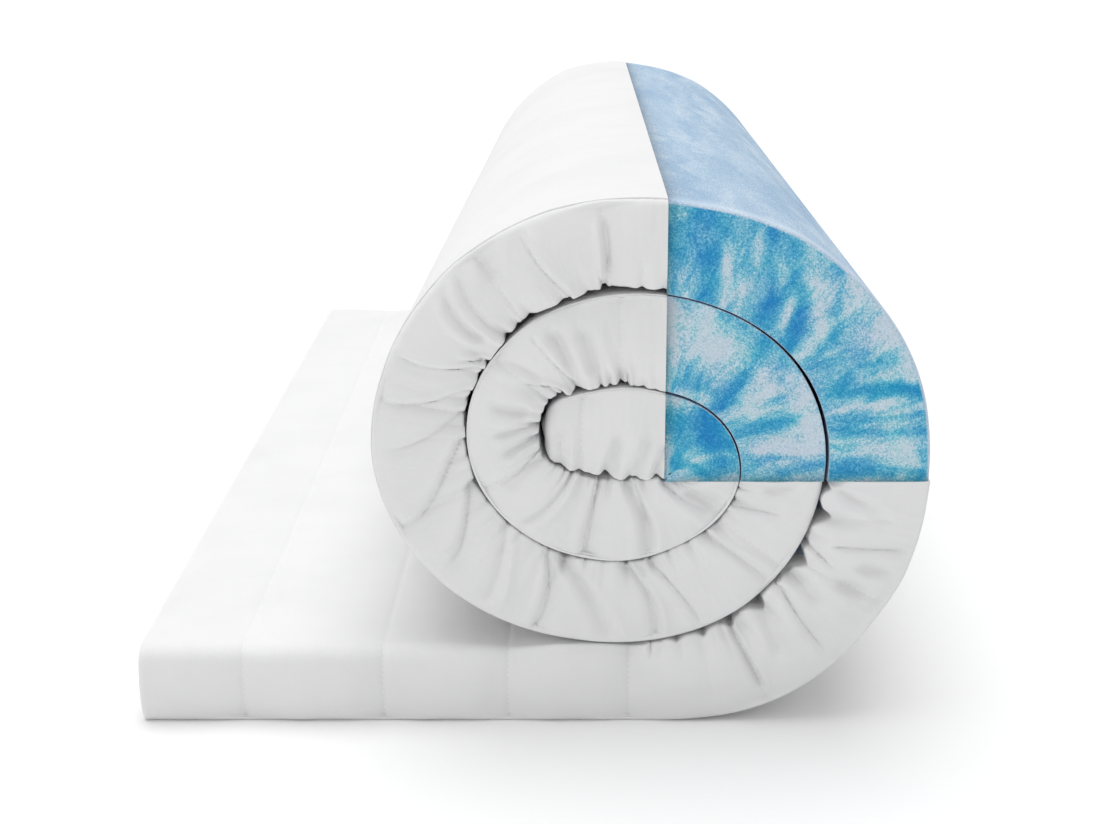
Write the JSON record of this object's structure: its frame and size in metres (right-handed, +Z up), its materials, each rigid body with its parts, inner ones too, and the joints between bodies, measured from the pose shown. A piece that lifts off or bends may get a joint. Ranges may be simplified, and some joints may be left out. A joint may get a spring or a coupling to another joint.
{
  "type": "mattress topper",
  "caption": "Foam mattress topper in a quilted cover, lying flat at one end and wound into a roll, with a quarter of the roll's cover cut away over the foam.",
  "frame": {"origin": "centre of the bounding box's bottom face, on the surface that the topper lies on", "axes": "+Y across the bed, away from the cut end that faces the viewer; +X from the flat free end towards the roll; +Z up"},
  "size_m": [0.5243, 0.99, 0.3568],
  "materials": {
    "foam": "soft open-cell foam, marbled blue",
    "cover": "soft matte woven cloth"
  },
  "bodies": {
    "root": {"foam_core": "foam", "cover_run": "cover", "cover_outer_turn": "cover", "cover_inner_turn": "cover", "cover_end": "cover"}
  },
  "joints": []
}
